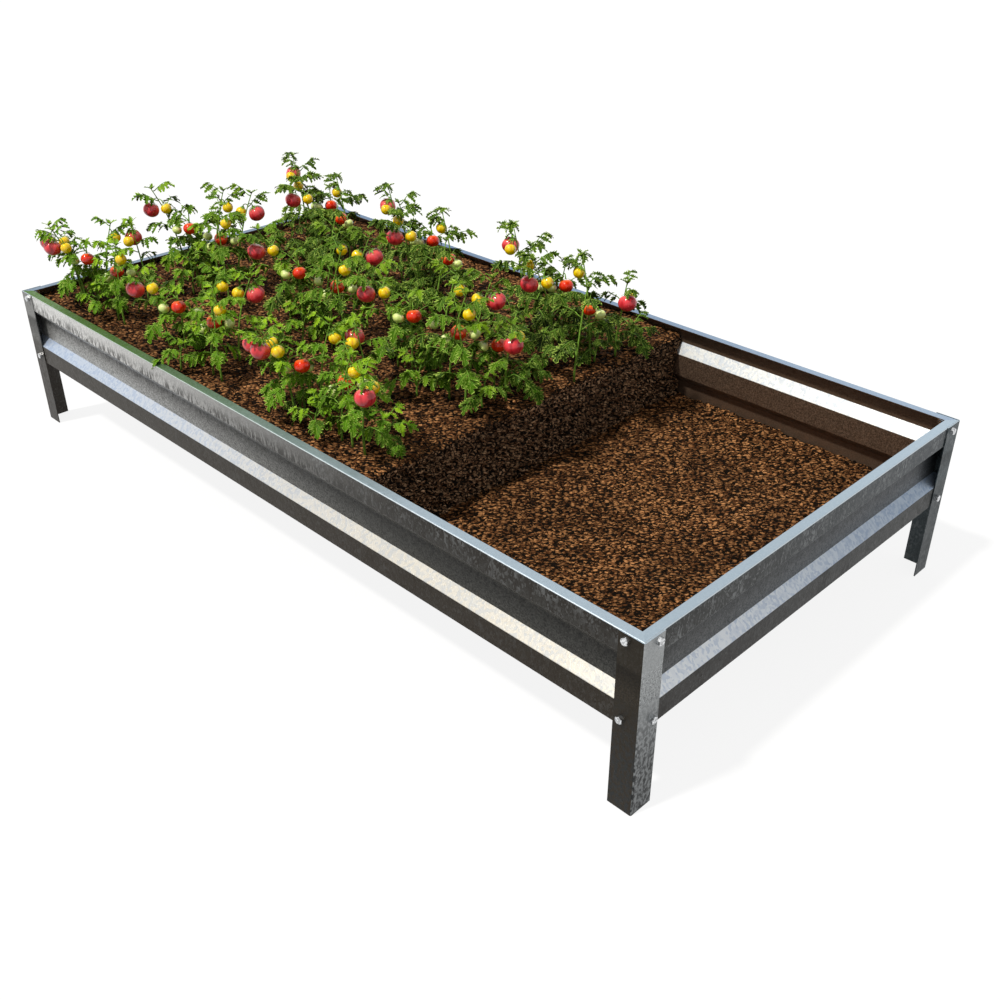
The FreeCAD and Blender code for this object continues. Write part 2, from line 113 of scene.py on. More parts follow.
class Nodes:
    """Short names for the shader nodes used here."""

    def __init__(self, name):
        self.material = bpy.data.materials.new(name)
        self.material.use_nodes = True
        self.tree = self.material.node_tree
        self.tree.nodes.clear()
        self.output = self.tree.nodes.new("ShaderNodeOutputMaterial")

    def link(self, a, b):
        self.tree.links.new(a, b)

    def put(self, socket, value):
        if isinstance(value, bpy.types.NodeSocket):
            self.link(value, socket)
        else:
            socket.default_value = value

    def node(self, kind, **inputs):
        made = self.tree.nodes.new("ShaderNode" + kind)
        for key, value in inputs.items():
            self.put(made.inputs[key.replace("_", " ")], value)
        return made

    def place(self):
        return self.node("TexCoord").outputs["Object"]

    def split(self, vector):
        return self.node("SeparateXYZ", Vector=vector).outputs

    def math(self, kind, a, b=0.0, clamp=False):
        made = self.tree.nodes.new("ShaderNodeMath")
        made.operation, made.use_clamp = kind, clamp
        self.put(made.inputs[0], a)
        self.put(made.inputs[1], b)
        return made.outputs[0]

    def span(self, value, a, b, c=0.0, d=1.0, smooth=True):
        """The value's run from a to b, brought to c to d."""
        made = self.node("MapRange", Value=value)
        made.interpolation_type = "SMOOTHSTEP" if smooth else "LINEAR"
        for key, number in (("From Min", a), ("From Max", b), ("To Min", c), ("To Max", d)):
            self.put(made.inputs[key], number)
        return made.outputs["Result"]

    def mix(self, share, a, b, kind="MIX"):
        made = self.tree.nodes.new("ShaderNodeMix")
        made.data_type, made.blend_type = "RGBA", kind
        self.put(made.inputs[0], share)
        self.put(made.inputs[6], a)
        self.put(made.inputs[7], b)
        return made.outputs[2]

    def noise(self, where, scale, detail=3.0, rough=0.55):
        made = self.node("TexNoise", Vector=where, Scale=scale, Detail=detail, Roughness=rough)
        return made.outputs["Fac"]

    def cells(self, where, scale, output="Color"):
        made = self.node("TexVoronoi", Vector=where, Scale=scale)
        return made.outputs[output]

    def stretch(self, where, x, y, z):
        made = self.node("Mapping", Vector=where)
        made.inputs["Scale"].default_value = (x, y, z)
        return made.outputs[0]

    def shaken(self, where, scale, reach):
        """The place moved about by noise, so that cells there have no straight edges."""
        made = self.tree.nodes.new("ShaderNodeVectorMath")
        made.operation = "MULTIPLY_ADD"
        waver = self.node("TexNoise", Vector=where, Scale=scale, Detail=2.0)
        self.link(waver.outputs["Color"], made.inputs[0])
        made.inputs[1].default_value = reach
        self.link(where, made.inputs[2])
        return made.outputs[0]

    def turned(self, where, angle):
        made = self.node("VectorRotate", Vector=where, Angle=angle)
        made.rotation_type = "Z_AXIS"
        return made.outputs[0]

    def grey(self, level):
        return self.node("CombineColor", Red=level, Green=level, Blue=level).outputs[0]

    def attribute(self, name):
        made = self.tree.nodes.new("ShaderNodeAttribute")
        made.attribute_name = name
        return made.outputs["Fac"]

    def bump(self, height, strength, distance):
        return self.node("Bump", Height=height, Strength=strength, Distance=distance).outputs[0]

    def finish(self, **inputs):
        shader = self.node("BsdfPrincipled", **inputs)
        self.link(shader.outputs[0], self.output.inputs["Surface"])
        return self.material


# ---- materials -------------------------------------------------------------------------------------
def galvanised(name, upper, web, lower, slope, rim, along=(0, -1.0, 1.0), inside=None, specks=0.42,
               streaks=0.0, hammered=0.0):
    """Hot-dip zinc whose colours hold painted reflections and painted shade. Each pair of colours runs from
    one end of the axis in along to the other, a painted reflection lighter at one end: upright faces of the
    upper band, the recessed web and the lower band, then faces that slope up and level ones. inside is the
    axis, side and two colours, low and high, of the upright faces on that side. specks, streaks and hammered
    are how much the spangle, the dark streaks down from the rim and the hammered grain show."""
    m = Nodes(name)
    place = m.place()
    normal = m.split(m.node("NewGeometry").outputs["Normal"])
    axis, start, end = along
    run = m.span(m.split(place)[axis], start, end)
    z = m.split(place)[2]
    where = m.stretch(m.shaken(place, 90.0, (0.006, 0.006, 0.009)), 1.0, 1.0, 0.55)
    spangle = m.split(m.cells(where, 210.0))[0]
    flake = m.split(m.cells(where, 430.0))[1]
    grain = m.noise(place, 300.0, 3.0, 0.8)
    cloud = m.noise(m.stretch(place, 1.0, 1.0, 0.6), 16.0, 4.0)
    webs = m.math("MULTIPLY", m.span(z, 0.220, 0.236), m.span(z, 0.300, 0.288))

    # each pair is a painted reflection, lighter at one end of the axis and darker at the other
    def pair(colours):
        return m.mix(run, srgb(*colours[0]), srgb(*colours[1]))

    # Heights here follow PANEL_LINE: the web lies between 0.238 and 0.290, the rim above 0.335.
    # Upright faces: three bands, painted shade on the web under the upper band, spangle, dark streaks down
    # from the rim, the sheet's other side, grain and dents.
    upright = m.mix(m.span(z, 0.228, 0.300), pair(lower), pair(upper))
    # painted shade: the web darkens towards its top, under the upper band
    shaded = m.grey(m.span(z, 0.292, 0.236, 0.55, 1.22))
    upright = m.mix(webs, upright, m.mix(1.0, pair(web), shaded, "MULTIPLY"))
    speck = m.math("MULTIPLY", m.span(spangle, 0.55, 0.92), m.span(cloud, 0.38, 0.62))
    speck = m.math("MULTIPLY", m.math("MAXIMUM", speck, m.span(flake, 0.75, 0.98, 0.0, 0.6)), specks)
    speck = m.math("MULTIPLY", speck, m.math("SUBTRACT", m.span(z, 0.215, 0.300, 0.3, 1.0), webs, clamp=True))
    upright = m.mix(speck, upright, srgb(158, 161, 162))
    dark_streaks = m.noise(m.stretch(place, 1.0, 1.0, 0.28), 210.0, 3.0)
    dark_streaks = m.math("MULTIPLY", m.span(dark_streaks, 0.42, 0.57), m.span(z, 0.350, 0.316, 0.0, streaks))
    upright = m.mix(m.math("MULTIPLY", dark_streaks, m.span(z, 0.262, 0.296)), upright, srgb(58, 57, 54))
    if inside:
        side, sign, low, high = inside
        facing = m.math("MULTIPLY", normal[side], sign)
        within = m.mix(m.span(z, 0.0, 0.34), srgb(*low), srgb(*high))
        upright = m.mix(m.span(facing, 0.3, 0.7), upright, within)
    sand = m.mix(webs, m.grey(m.span(grain, 0.36, 0.64, 0.8, 1.2, smooth=False)),
                 m.grey(m.span(grain, 0.36, 0.64, 0.4, 1.6, smooth=False)))
    upright = m.mix(1.0, upright, sand, "MULTIPLY")
    dents = m.noise(m.stretch(place, 1.0, 1.0, 0.7), 150.0, 3.0)
    beaten = m.span(z, 0.30, 0.06, 0.0, hammered)
    upright = m.mix(m.math("MULTIPLY", beaten, m.span(dents, 0.42, 0.58)), upright, srgb(44, 46, 46))
    # Faces that slope up, painted lighter as a reflection of the sky; level ones, whose run is a painted
    # reflection; and a painted highlight along the bend between rim and band.
    pale = m.mix(m.span(m.math("ADD", spangle, m.math("MULTIPLY", cloud, 0.6)), 0.5, 1.3), pair(slope),
                 m.mix(1.0, pair(slope), (0.74, 0.79, 0.88, 1), "MULTIPLY"))
    up = normal[2]
    colour = m.mix(m.math("MULTIPLY", m.span(up, 0.2, 0.5), m.span(z, 0.335, 0.325)), upright, pale)
    # painted reflection on the level rim: green at one end beside the plants, pale at the other
    flat = m.mix(m.math("POWER", run, 2.2), srgb(*rim[0]), srgb(*rim[1]))
    flat = m.mix(m.span(flake, 0.4, 0.9, 0.0, 0.22), flat, m.mix(0.5, flat, srgb(204, 214, 222)))
    colour = m.mix(m.math("MULTIPLY", m.span(up, 0.25, 0.6), m.span(z, 0.325, 0.335)), colour, flat)
    # painted highlight: a light line along the bend at the rim's outer edge
    bright = m.math("MULTIPLY", m.span(up, 0.5, 0.65), m.span(up, 0.88, 0.74))
    colour = m.mix(m.math("MULTIPLY", bright, m.span(z, 0.335, 0.345)), colour, srgb(206, 212, 216))
    rough = m.span(m.math("ADD", spangle, m.math("MULTIPLY", grain, 0.6)), 0.0, 1.6, 0.30, 0.55, smooth=False)
    height = m.math("ADD", m.math("MULTIPLY", spangle, 0.45), m.math("MULTIPLY", grain, 0.55))
    height = m.math("ADD", height, m.math("MULTIPLY", m.math("MULTIPLY", dents, beaten), 2.0))
    return m.finish(Base_Color=colour, Roughness=rough, Metallic=0.6, Specular_IOR_Level=0.12,
                    Normal=m.bump(height, 0.4, 0.0007))


def zinc_bright():
    """Bright zinc of the bolts, nuts and washers."""
    m = Nodes("zinc_bright")
    place = m.place()
    wear = m.noise(place, 260.0, 4.0)
    colour = m.mix(m.span(wear, 0.35, 0.65), srgb(232, 234, 236), srgb(150, 152, 154))
    rough = m.span(m.noise(place, 700.0), 0.3, 0.7, 0.14, 0.3)
    return m.finish(Base_Color=colour, Roughness=rough, Metallic=0.95, Normal=m.bump(wear, 0.2, 0.0003))


GRAIN_TURN = -pi / 4        # the bark's grains lie along the bed's diagonal


def bark(name, gap, middle, light):
    """Loose shredded bark: grains with tones of their own, and painted shade that turns them nearly black in
    the gaps between them.
    """
    m = Nodes(name)
    place = m.place()
    tone, lift = m.attribute("tone"), m.attribute("lift")
    shaken = m.shaken(place, 110.0, (0.007, 0.007, 0.007))
    where = m.stretch(m.turned(shaken, GRAIN_TURN), 0.42, 1.0, 1.0)
    grains = m.node("TexVoronoi", Vector=where, Scale=240.0)
    body = m.span(grains.outputs["Distance"], 0.66, 0.34)
    own = m.split(grains.outputs["Color"])
    fibre = m.noise(m.stretch(m.turned(place, GRAIN_TURN), 0.6, 2.2, 1.0), 520.0, 3.0)
    patch = m.noise(place, 7.0, 3.0)
    mixed = m.math("ADD", m.math("MULTIPLY", own[0], 0.62), m.math("MULTIPLY", tone, 0.18))
    mixed = m.math("ADD", mixed, m.math("MULTIPLY", fibre, 0.3))
    colour = m.mix(m.span(mixed, 0.34, 0.86), srgb(*middle), srgb(*light))
    # painted shade: near black towards each grain's edge and where grains lie low, in the gaps
    sunk = m.math("MULTIPLY", body, m.span(m.math("ADD", lift, m.math("MULTIPLY", own[1], 0.7)), 0.16, 0.62))
    colour = m.mix(sunk, srgb(*gap), colour)
    colour = m.mix(1.0, colour, m.grey(m.span(patch, 0.35, 0.65, 0.74, 1.16)), "MULTIPLY")
    relief = m.math("ADD", m.math("MULTIPLY", body, 0.8), m.math("MULTIPLY", fibre, 0.25))
    return m.finish(Base_Color=colour, Roughness=m.span(fibre, 0.2, 0.8, 0.6, 0.9),
                    Normal=m.bump(relief, 0.9, 0.0030), Specular_IOR_Level=0.06)


def leaf_material():
    """Blade: three greens in blotches, painted shade that darkens the far rows, paler along midrib, veins and
    rim.
    """
    m = Nodes("leaf_green")
    blade = m.split(m.node("UVMap").outputs[0])
    across = m.math("ABSOLUTE", m.math("SUBTRACT", blade[1], 0.5))
    tone = m.attribute("tone")
    blotch = m.noise(m.place(), 55.0, 4.0)
    mixed = m.math("ADD", m.math("MULTIPLY", tone, 0.7), m.math("MULTIPLY", blotch, 0.4))
    colour = m.mix(m.span(mixed, 0.18, 0.56), srgb(22, 48, 2), srgb(80, 128, 8))
    colour = m.mix(m.span(mixed, 0.58, 0.98), colour, srgb(150, 192, 18))
    # painted shade: leaves darken towards the back of the bed
    far = m.span(m.split(m.place())[1], -0.36, 0.12, 0.12, 0.88)
    colour = m.mix(far, colour, m.mix(1.0, colour, (0.14, 0.18, 0.4, 1), "MULTIPLY"))
    slant = m.math("SUBTRACT", blade[0], m.math("MULTIPLY", across, 0.7))
    veins = m.math("SINE", m.math("MULTIPLY", slant, 44.0))
    rib = m.math("MAXIMUM", m.span(across, 0.05, 0.0, 0.0, 0.5), m.span(veins, 0.9, 1.0, 0.0, 0.25))
    rim = m.math("MULTIPLY", m.span(across, 0.40, 0.46), m.span(blotch, 0.42, 0.6, 0.3, 1.0))
    colour = m.mix(m.math("MAXIMUM", rib, rim), colour, srgb(190, 218, 100))
    relief = m.math("SUBTRACT", m.noise(m.place(), 420.0, 3.0), m.math("MULTIPLY", rib, 0.8))
    return m.finish(Base_Color=colour, Roughness=m.span(blotch, 0.3, 0.7, 0.36, 0.58),
                    Normal=m.bump(relief, 0.5, 0.0008), Specular_IOR_Level=0.06)


def stem_material():
    """Downy stem, darker near the soil."""
    m = Nodes("stem_green")
    place = m.place()
    fuzz = m.noise(m.stretch(place, 3.0, 3.0, 1.0), 240.0, 4.0)
    low = m.span(m.split(place)[2], SOIL_HIGH, SOIL_HIGH + 0.12, 0.0, 1.0)
    colour = m.mix(m.span(fuzz, 0.3, 0.7), srgb(78, 132, 22), srgb(152, 190, 78))
    colour = m.mix(low, m.mix(0.35, colour, srgb(40, 62, 20)), colour)
    return m.finish(Base_Color=colour, Roughness=m.span(fuzz, 0.3, 0.7, 0.45, 0.7),
                    Normal=m.bump(fuzz, 0.5, 0.0006), Specular_IOR_Level=0.2)


def skin(name, ripe, dark, shoulder):
    """Fruit skin: darker in the grooves as painted shade, paler at the shoulder round the stalk, with fine
    freckles.
    """
    m = Nodes(name)
    place = m.place()
    groove, top = m.attribute("groove"), m.attribute("top")
    cloud = m.noise(place, 38.0, 3.0)
    # painted shade: the grooves between the ribs darker, in blotches
    deep = m.math("ADD", groove, m.math("MULTIPLY", cloud, 0.5))
    colour = m.mix(m.span(deep, 0.45, 1.3), srgb(*ripe), srgb(*dark))
    high = m.math("ADD", top, m.math("MULTIPLY", cloud, 0.3))
    colour = m.mix(m.span(high, 0.75, 1.15, 0.0, 0.8), colour, srgb(*shoulder))
    freckle = m.span(m.cells(place, 900.0, "Distance"), 0.12, 0.0, 0.0, 0.25)
    colour = m.mix(freckle, colour, srgb(*shoulder))
    return m.finish(Base_Color=colour, Roughness=m.span(cloud, 0.3, 0.7, 0.2, 0.34), Coat_Weight=0.6,
                    Coat_Roughness=0.09, Specular_IOR_Level=0.22,
                    Normal=m.bump(m.noise(place, 160.0, 2.0), 0.12, 0.0008))


# ---- mesh building ---------------------------------------------------------------------------------
class Shape:
    """Points, faces and per-point values gathered for one mesh; u and v among them are its UV map."""

    def __init__(self):
        self.points, self.faces, self.slots, self.values = [], [], [], {}
        self.count = 0

    def add(self, points, faces, slot=0, **values):
        """Add points, faces by index among them, and the values of every point."""
        points = np.asarray(points, float)
        self.points.append(points)
        self.faces += [tuple(i + self.count for i in face) for face in faces]
        self.slots += [slot] * len(faces)
        for key, value in values.items():
            self.values.setdefault(key, []).append(np.broadcast_to(np.asarray(value, float), (len(points),)))
        self.count += len(points)

    def take(self, other, turn, spot):
        """Add another shape, turned about the upright axis and set down at a spot."""
        self.points.append(rot_z(np.concatenate(other.points), turn) + spot)
        self.faces += [tuple(i + self.count for i in face) for face in other.faces]
        self.slots += other.slots
        for key, value in other.values.items():
            self.values.setdefault(key, []).extend(value)
        self.count += other.count

    def build(self, name, materials, smooth=True):
        mesh = bpy.data.meshes.new(name)
        mesh.from_pydata(np.concatenate(self.points).tolist(), [], self.faces)
        for key, value in self.values.items():
            if key in ("u", "v"):
                continue
            layer = mesh.attributes.new(key, "FLOAT", "POINT")
            layer.data.foreach_set("value", np.concatenate(value).astype(np.float32))
        if "u" in self.values:
            uv = np.stack([np.concatenate(self.values["u"]), np.concatenate(self.values["v"])], 1)
            corner = np.zeros(len(mesh.loops), np.int32)
            mesh.loops.foreach_get("vertex_index", corner)
            mesh.uv_layers.new(name="blade").data.foreach_set("uv", uv[corner].astype(np.float32).ravel())
        for material in materials:
            mesh.materials.append(material)
        mesh.polygons.foreach_set("material_index", np.array(self.slots, np.int32))
        mesh.polygons.foreach_set("use_smooth", np.full(len(self.slots), smooth))
        mesh.validate()
        mesh.update()
        made = bpy.data.objects.new(name, mesh)
        bpy.context.scene.collection.objects.link(made)
        return made


LEAF_SLOT, STEM_SLOT = 0, 1          # materials of a plant's mesh


def unit(v):
    v = np.asarray(v, float)
    return v / max(np.linalg.norm(v), 1e-9)


def side_of(direction):
    """Two directions square to this one."""
    side = np.cross(direction, (0, 0, 1.0))
    if np.linalg.norm(side) < 1e-3:
        side = np.array((1.0, 0, 0))
    side = unit(side)
    return side, np.cross(side, direction)


def tube(shape, path, radii, sides, slot, tone=0.5):
    """A round stalk along a path, with a radius at each point, closed at its tip."""
    path = np.asarray(path, float)
    rings = []
    for k, centre in enumerate(path):
        direction = unit(path[min(k + 1, len(path) - 1)] - path[max(k - 1, 0)])
        a, b = side_of(direction)
        for j in range(sides):
            turn = 2 * pi * j / sides
            rings.append(centre + radii[k] * (cos(turn) * a + sin(turn) * b))
    faces = []
    for k in range(len(path) - 1):
        for j in range(sides):
            n = (j + 1) % sides
            faces.append((k * sides + j, k * sides + n, (k + 1) * sides + n, (k + 1) * sides + j))
    faces.append(tuple((len(path) - 1) * sides + j for j in range(sides)))
    faces.append(tuple(reversed(range(sides))))
    shape.add(rings, faces, slot, tone=tone, u=0.0, v=0.5)


# One side of a leaflet at shares of its length: half width, half width of its core, and how far its lobes
# lean forward. A small half width is a notch between two lobes.
LEAFLET_T = np.array((0.0, 0.07, 0.15, 0.27, 0.33, 0.46, 0.52, 0.65, 0.71, 0.84, 1.0))
LEAFLET_W = np.array((0.03, 0.20, 0.16, 0.52, 0.24, 0.56, 0.22, 0.44, 0.15, 0.24, 0.0))
LEAFLET_CORE = np.array((0.02, 0.09, 0.10, 0.17, 0.15, 0.19, 0.13, 0.15, 0.09, 0.08, 0.0))
LEAFLET_LEAN = np.array((0.0, 0.03, 0.0, 0.09, 0.0, 0.10, 0.0, 0.10, 0.0, 0.07, 0.0))
ACROSS = ((-1.0, LEAFLET_W), (-0.5, LEAFLET_CORE), (0.0, None), (0.5, LEAFLET_CORE), (1.0, LEAFLET_W))
LEAFLET_FACES = [(r * 5 + c, r * 5 + c + 1, (r + 1) * 5 + c + 1, (r + 1) * 5 + c)
                 for r in range(len(LEAFLET_T) - 1) for c in range(4)]


def leaflet(shape, base, along, up, length, width, rng, tone):
    """One lobed, toothed leaflet: folded along its midrib, drooping at the tip and waved along its rim."""
    side = unit(np.cross(up, along))
    up = unit(np.cross(along, side))
    fold, droop = rng.uniform(0.1, 0.6), rng.uniform(0.08, 0.5)
    wave, phase = rng.uniform(0.02, 0.07), rng.uniform(0, 2 * pi)
    x, y, z, v = [], [], [], []
    for s, half in ACROSS:
        spread = np.zeros_like(LEAFLET_T)
        if half is not None:
            spread = half * np.sign(s) * (1 + rng.uniform(-0.12, 0.12))
        lean = LEAFLET_LEAN * (abs(s) == 1)
        x.append(LEAFLET_T + lean)
        y.append(spread * width / length)
        z.append(fold * abs(spread) * width / length - droop * LEAFLET_T ** 2
                 + wave * abs(s) * np.sin(9 * LEAFLET_T + phase + 2 * s))
        v.append(np.full_like(LEAFLET_T, 0.5 + 0.5 * s))
    x, y, z, v = (np.stack(a, 1).ravel() for a in (x, y, z, v))
    points = base + length * (x[:, None] * along + y[:, None] * side + z[:, None] * up)
    shape.add(points, LEAFLET_FACES, LEAF_SLOT, tone=tone, u=np.clip(x, 0, 1), v=v)


def turn_about(v, axis, angle):
    return np.array(Matrix.Rotation(angle, 3, Vector(axis)) @ Vector(v))


RACHIS_STOPS, RACHIS_RADII = (0.0, 0.2, 0.4, 0.62), (0.0011, 0.001, 0.0008, 0.0005)
LEAFLET_PAIRS = ((0.08, 0.40), (0.32, 0.52), (0.55, 0.42))       # place and size, of the leaf's length
END_PLACE, END_LENGTH, END_WIDTH = 0.50, 0.54, 0.42               # of the leaflet at the tip


def compound_leaf(shape, base, turn, droop, length, rng, tone):
    """Arched rachis with side leaflets in pairs and a larger one at its tip."""
    flat = np.array((cos(radians(turn)), sin(radians(turn)), 0))
    chord = flat * cos(radians(droop)) + np.array((0, 0, sin(radians(droop))))
    side = np.cross((0, 0, 1.0), flat)
    up = np.cross(chord, side)
    arch = rng.uniform(0.05, 0.16)

    def spine(t):
        return base + length * (t * chord + arch * sin(pi * t) * up)

    tube(shape, [spine(t) for t in RACHIS_STOPS], RACHIS_RADII, 5, STEM_SLOT)
    for place, size in LEAFLET_PAIRS:
        for hand in (-1, 1):
            here = spine(place + rng.uniform(-0.03, 0.03))
            along = turn_about(chord, up, hand * radians(rng.uniform(48, 66)))
            along = unit(along + np.array((0, 0, rng.uniform(-0.8, -0.1))))
            leaf_up = turn_about(up, chord, rng.uniform(-0.5, 0.5))
            reach = size * length * rng.uniform(0.88, 1.05)
            leaflet(shape, here, along, leaf_up, reach, reach * rng.uniform(0.5, 0.74), rng,
                    tone + rng.uniform(-0.2, 0.2))
    tip = unit(chord + np.array((0, 0, rng.uniform(-0.75, -0.15))))
    leaflet(shape, spine(END_PLACE), tip, up, END_LENGTH * length, END_WIDTH * length, rng,
            tone + rng.uniform(-0.1, 0.1))


def mix(low, top, share):
    return low + (top - low) * share


def stem_point(height, lean, z):
    """A point on the stem's centre line: upright at the soil, leaning along +x higher up."""
    return np.array((lean * (z / height) ** 2, 0, z))


def fruit_centres(kind, stature):
    """Colour, centre and radii of each fruit of a plant whose stem stands at the origin."""
    _, lean, _, fruits = PLANTS[kind]
    return [(colour, np.array((lean * stature + beside, across, centre * stature)), radii)
            for colour, beside, across, centre, radii in fruits]


def rot_z(points, angle):
    """Points turned about the upright axis, in degrees."""
    c, s = cos(radians(angle)), sin(radians(angle))
    return np.asarray(points) @ np.array(((c, s, 0), (-s, c, 0), (0, 0, 1)))


def tilt_of(centre, lean):
    """How a fruit hangs: its crown leans towards the stem."""
    towards = unit((lean - centre[0], -centre[1], 0.0)) if abs(centre[1]) > 0.001 else np.array((-1.0, 0, 0))
    return unit(np.array((0, 0, 1.0)) + 0.42 * towards)


TRUSS_STOPS = (0, 0.2, 0.4, 0.6, 0.8, 1.0)
TRUSS_RADII = (0.0014, 0.0012, 0.0011, 0.0011, 0.0012, 0.0014, 0.0017)
TRUSS_RISE = 0.006                   # straight end over the calyx, and hump of the curve
SEPALS = 6
SEPAL_WIDTHS = ((0, 0.0016), (0.35, 0.0018), (0.7, 0.0011), (1.0, 0.0002))   # half widths along a sepal
SEPAL_LIFT, SEPAL_CURL = 0.0006, 0.0022


def crown(shape, centre, radii, axis, stem_root, rng):
    """Curved stalk and the star of sepals on top of a fruit."""
    top = centre + axis * (radii[1] + CALYX_GAP)
    lift = top + axis * TRUSS_RISE
    knee = 0.5 * (stem_root + lift) + np.array((0, 0, TRUSS_RISE))
    path = []
    for t in TRUSS_STOPS:
        path.append((1 - t) ** 2 * stem_root + 2 * t * (1 - t) * knee + t * t * lift)
    path.append(top)
    tube(shape, path, TRUSS_RADII, 6, STEM_SLOT)
    a, b = side_of(axis)
    for k in range(SEPALS):
        turn = 2 * pi * k / SEPALS + rng.uniform(-0.2, 0.2)
        out = cos(turn) * a + sin(turn) * b
        across = np.cross(axis, out)
        reach = radii[0] * rng.uniform(0.6, 0.8)
        rows = []
        for t, w in SEPAL_WIDTHS:
            drop = radii[1] * (sqrt(1 - (0.72 * t) ** 2) - 1)
            middle = top + out * reach * t + axis * (drop + SEPAL_LIFT + SEPAL_CURL * t * t)
            rows += [middle - across * w, middle + across * w]
        faces = [(2 * i, 2 * i + 1, 2 * i + 3, 2 * i + 2) for i in range(len(SEPAL_WIDTHS) - 1)]
        shape.add(rows, faces, STEM_SLOT, tone=0.2, u=0.0, v=0.5)


STEM_STEPS, STEM_SIDES = 14, 7
STEM_FOOT_R, STEM_TIP_R = 0.0026, 0.0011
STEM_SWAY = 0.0022
FOOT_SINK = 0.004                    # the stem's foot runs down into the bark
STALK_RADII = (0.0015, 0.0013, 0.0011)
STALK_SAG = 0.0015
BUDS, BUD_LENGTH, BUD_WIDTH = 3, 0.018, 0.012      # small leaves at the stem's tip


def plant(kind, stature, rng):
    """One plant standing at the origin, as a Shape of its own."""
    shape = Shape()
    height, lean, count, _ = PLANTS[kind]
    height, lean = height * stature, lean * stature
    wobble = rng.uniform(0, 2 * pi)
    path, radii = [], []
    for k in range(STEM_STEPS + 1):
        share = k / STEM_STEPS
        sway = STEM_SWAY * sin(wobble + 5 * share) * min(1, 3 * share)
        path.append(stem_point(height, lean, height * share) + np.array((0, sway, 0)))
        radii.append(mix(STEM_FOOT_R, STEM_TIP_R, share))
    path[0][2] -= FOOT_SINK
    tube(shape, path, radii, STEM_SIDES, STEM_SLOT)
    for k in range(count):
        share = k / (count - 1)
        root = stem_point(height, lean, height * mix(FIRST_LEAF, 0.98, share))
        turn = LEAF_START + GOLDEN_TURN * k
        stalk = mix(LOW_STALK, TOP_STALK, share) * stature
        droop = mix(LOW_DROOP, TOP_DROOP, share)
        reach = stalk * cos(radians(STALK_RISE))
        base = root + np.array((reach * cos(radians(turn)), reach * sin(radians(turn)),
                                stalk * sin(radians(STALK_RISE))))
        sag = 0.5 * (root + base) - np.array((0, 0, STALK_SAG))
        tube(shape, [root, sag, base], STALK_RADII, 5, STEM_SLOT)
        compound_leaf(shape, base, turn, droop, mix(LOW_LEAF, TOP_LEAF, share) * stature, rng,
                      0.34 + 0.3 * share + rng.uniform(-0.2, 0.3))
    tip = stem_point(height, lean, height)
    for k in range(BUDS):
        out = np.array((cos(2.1 * k), sin(2.1 * k), 1.1))
        leaflet(shape, tip, unit(out), np.array((-out[0], -out[1], 1.0)), BUD_LENGTH, BUD_WIDTH, rng, 0.8)
    for _, centre, radii in fruit_centres(kind, stature):
        level = min(centre[2] + radii[1] + STALK_HUMP, 0.97 * height)
        root = stem_point(height, lean, level - STALK_HUMP / 2)
        crown(shape, centre, radii, tilt_of(centre, lean), root, rng)
    return shape


# ribs, their depth and the dimple's, of the radius
FRUIT_FORM = {"pink": (6, 0.075, 0.22), "red": (5, 0.05, 0.17), "yellow": (6, 0.07, 0.18),
              "green": (2, 0.09, 0.22)}
FRUIT_RINGS, FRUIT_SIDES = 18, 30


def fruit(shape, colour, centre, radii, axis, twist):
    """Ribbed, flattened ball with a dimple where its stalk meets it."""
    ribs, depth, dimple = FRUIT_FORM[colour]
    points, groove, top, faces = [], [], [], []
    a, b = side_of(axis)
    for i in range(FRUIT_RINGS + 1):
        polar = pi * i / FRUIT_RINGS
        for j in range(FRUIT_SIDES):
            turn = 2 * pi * j / FRUIT_SIDES
            rib = abs(cos(ribs * (turn + twist) / 2)) ** 0.7
            reach = radii[0] * sin(polar) * (1 - depth * (1 - rib) * (1.2 + cos(polar)))
            lift = radii[1] * cos(polar) * (1 - dimple * exp(-(polar / 0.42) ** 2))
            points.append(centre + reach * (cos(turn) * a + sin(turn) * b) + lift * axis)
            groove.append((1 - rib) * sin(polar))
            top.append(0.5 + 0.5 * cos(polar))
    for i in range(FRUIT_RINGS):
        for j in range(FRUIT_SIDES):
            n = (j + 1) % FRUIT_SIDES
            faces.append((i * FRUIT_SIDES + j, (i + 1) * FRUIT_SIDES + j, (i + 1) * FRUIT_SIDES + n,
                          i * FRUIT_SIDES + n))
    shape.add(points, faces, groove=groove, top=top)


FIRST_SEED = 12


def garden():
    """Every bay's plants as one mesh, and the fruit of each colour as another."""
    leaf, stem = leaf_material(), stem_material()
    produce = {"pink": Shape(), "red": Shape(), "yellow": Shape(), "green": Shape()}
    seed = FIRST_SEED
    for bay, (planting, bay_x, bay_y, stature) in BAYS.items():
        group = Shape()
        for kind, x, y, turn in planting:
            rng = random.Random(seed)
            seed += 1
            centres = fruit_centres(kind, stature)
            reach = rot_z(centres[0][1] * (1, 1, 0), turn) if centres else np.zeros(3)
            foot = np.array(((bay_x + x) * MM, (bay_y + y) * MM, 0.0)) - reach
            foot[2] = SOIL_HIGH + swell(foot[0], foot[1])
            group.take(plant(kind, stature, rng), turn, foot)
            lean = PLANTS[kind][1] * stature
            for colour, centre, radii in centres:
                axis = rot_z(tilt_of(centre, lean), turn)
                fruit(produce[colour], colour, rot_z(centre, turn) + foot, radii, axis, rng.uniform(0, 3))
        made = group.build("plants_" + bay, (leaf, stem))
        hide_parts("tomato_plants_" + bay)
        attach(made, "root")
    skins = {
        "pink": skin("skin_pink", (232, 56, 66), (182, 24, 36), (236, 104, 96)),
        "red": skin("skin_red", (244, 48, 8), (196, 22, 4), (246, 120, 24)),
        "yellow": skin("skin_yellow", (255, 216, 0), (232, 160, 0), (244, 220, 24)),
        "green": skin("skin_green", (222, 238, 138), (176, 204, 84), (236, 244, 180)),
    }
    for colour, shape in produce.items():
        made = shape.build("fruit_" + colour, (skins[colour],))
        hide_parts("tomatoes_" + colour)
        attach(made, "root")


